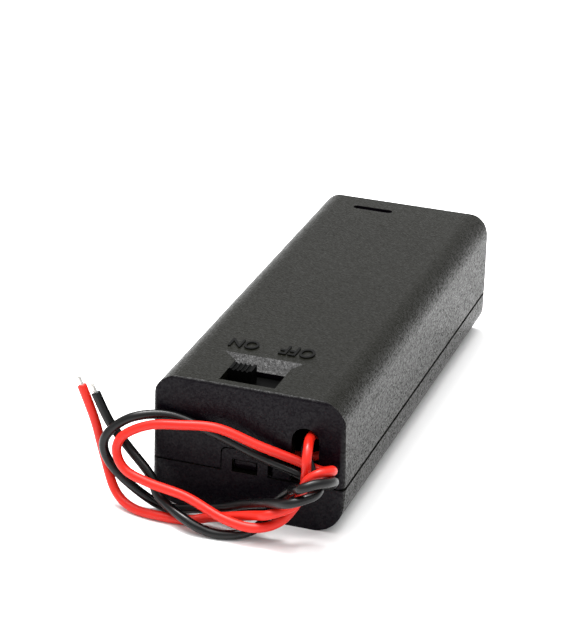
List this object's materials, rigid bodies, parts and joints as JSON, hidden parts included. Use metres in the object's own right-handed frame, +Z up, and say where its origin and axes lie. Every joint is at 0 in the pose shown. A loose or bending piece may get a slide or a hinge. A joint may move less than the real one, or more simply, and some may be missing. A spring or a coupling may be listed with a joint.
{
  "type": "enclosed cell holder with switch and leads",
  "caption": "Closed plastic holder for small cylindrical cells, side by side, with a slide switch, a snap cover and two flying leads.",
  "frame": {"origin": "on the resting face, under the middle of the closed case", "axes": "+Y from the lead end to the far end, +X across towards the lead notch's side, +Z up through the deck with the switch"},
  "size_m": [0.0379, 0.0804, 0.0194],
  "materials": {
    "housing_plastic": "black moulded plastic with a fine spark-eroded grain",
    "cover_plastic": "black moulded plastic with a fine spark-eroded grain",
    "slider_plastic": "smooth black moulded plastic",
    "phenolic_board": "brown punched phenolic board",
    "switch_steel": "bright tinned sheet",
    "nickel_plate": "bright nickel plate",
    "spring_steel": "bright nickel-plated wire",
    "contact_bronze": "bright bronze strip",
    "tinned_brass": "tinned strip",
    "solder": "bright solder",
    "red_insulation": "red flexible insulation with a soft sheen",
    "black_insulation": "black flexible insulation with a soft sheen",
    "tinned_copper": "tinned strands"
  },
  "bodies": {
    "case": {"housing": "housing_plastic", "switch_frame": "switch_steel", "switch_base": "phenolic_board", "terminal_on": "tinned_brass", "terminal_common": "tinned_brass", "terminal_off": "tinned_brass", "contact_positive": "nickel_plate", "contact_negative": "nickel_plate", "spring_negative": "spring_steel", "link_plate": "nickel_plate", "link_spring": "spring_steel", "red_tail": "red_insulation", "black_tail": "black_insulation", "link_wire": "red_insulation", "solder_common": "solder", "solder_on": "solder", "solder_positive": "solder", "solder_negative": "solder", "red_lead": "red_insulation", "black_lead": "black_insulation", "red_strands": "tinned_copper", "black_strands": "tinned_copper"},
    "lid": {"cover": "cover_plastic"},
    "slider": {"switch_slider": "slider_plastic", "switch_bridge": "contact_bronze"}
  },
  "joints": [
    {"name": "switch_slide", "type": "slide", "parent": "case", "child": "slider", "axis": [1, 0, 0], "range_m": [0, 0.004]},
    {"name": "cover_hinge", "type": "hinge", "parent": "case", "child": "lid", "pos_m": [0, 0.036, 0.0067], "axis": [1, 0, 0], "range_deg": [0, 60]}
  ]
}
